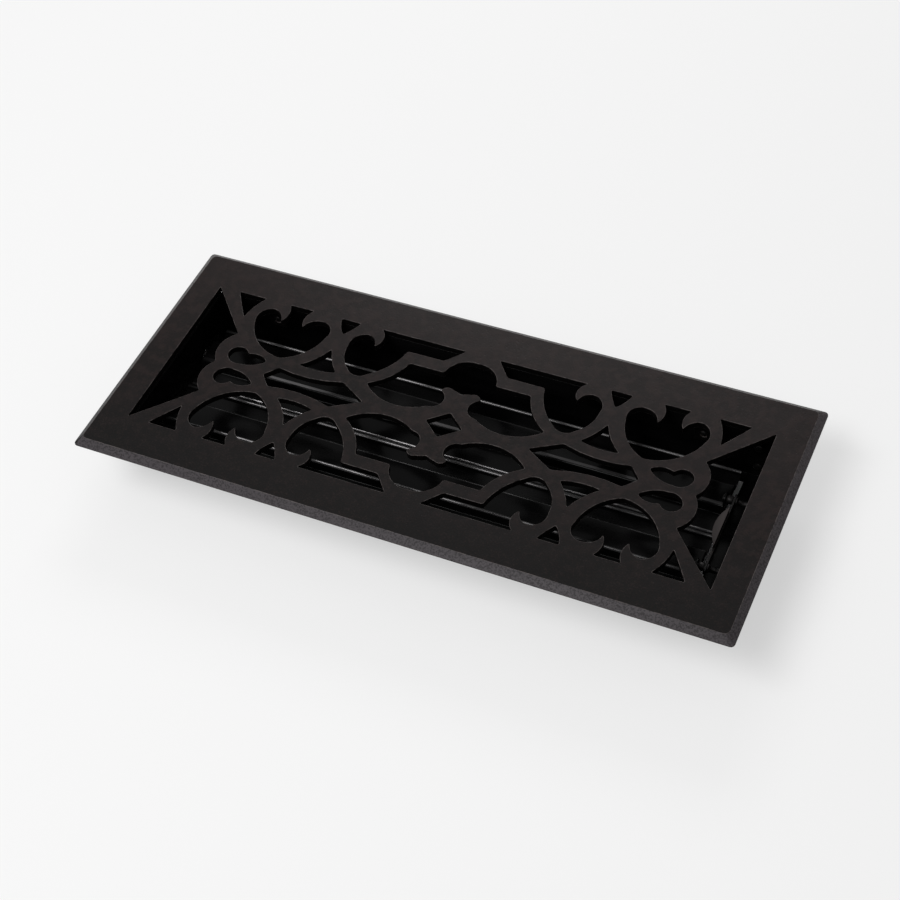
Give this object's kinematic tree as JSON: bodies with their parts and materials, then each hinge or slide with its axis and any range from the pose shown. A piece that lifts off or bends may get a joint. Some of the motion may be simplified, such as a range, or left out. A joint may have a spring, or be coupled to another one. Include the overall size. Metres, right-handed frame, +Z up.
{
  "type": "floor register vent cover",
  "caption": "Cast iron floor register with a pierced scroll grille and a sheet damper whose linked louvers open together.",
  "frame": {"origin": "middle of the damper box's lower edge, where it stands on a level surface", "axes": "+X along the plate towards the finger tab's end, +Y across the plate, +Z up out of the pierced face"},
  "size_m": [0.3398, 0.143, 0.035],
  "materials": {
    "cast_iron": "matt black coating on a sandy casting",
    "black_sheet": "glossy black enamel on sheet steel",
    "plated_steel": "plated fasteners"
  },
  "bodies": {
    "frame": {"faceplate": "cast_iron", "box_front_wall": "black_sheet", "box_rear_wall": "black_sheet", "box_left_wall": "black_sheet", "box_right_wall": "black_sheet", "corner_rivet_left_front_1": "plated_steel", "corner_rivet_left_front_2": "plated_steel", "corner_rivet_left_rear_1": "plated_steel", "corner_rivet_left_rear_2": "plated_steel", "corner_rivet_right_front_1": "plated_steel", "corner_rivet_right_front_2": "plated_steel", "corner_rivet_right_rear_1": "plated_steel", "corner_rivet_right_rear_2": "plated_steel", "box_screw_left_front": "plated_steel", "box_screw_left_rear": "plated_steel", "box_screw_right_front": "plated_steel", "box_screw_right_rear": "plated_steel"},
    "louver_front": {"louver_front": "black_sheet", "pivot_pin_left_front": "plated_steel", "pivot_pin_right_front": "plated_steel", "crank_pin_front": "plated_steel"},
    "louver_rear": {"louver_rear": "black_sheet", "pivot_pin_left_rear": "plated_steel", "pivot_pin_right_rear": "plated_steel", "crank_pin_rear": "plated_steel"},
    "link": {"link_bar": "black_sheet"}
  },
  "joints": [
    {"name": "front_louver_hinge", "type": "hinge", "parent": "frame", "child": "louver_front", "pos_m": [0, -0.0207, 0.0112], "axis": [-1, 0, 0], "range_deg": [0, 75]},
    {"name": "rear_louver_hinge", "type": "hinge", "parent": "frame", "child": "louver_rear", "pos_m": [0, 0.0207, 0.0112], "axis": [-1, 0, 0], "range_deg": [0, 75]},
    {"name": "link_hinge", "type": "hinge", "parent": "louver_front", "child": "link", "pos_m": [0.1417, -0.0249, 0.0174], "axis": [1, 0, 0], "range_deg": [0, 75]}
  ],
  "couplings": [
    {"joint": "rear_louver_hinge", "follows": "front_louver_hinge", "ratio": 1},
    {"joint": "link_hinge", "follows": "front_louver_hinge", "ratio": 1}
  ]
}
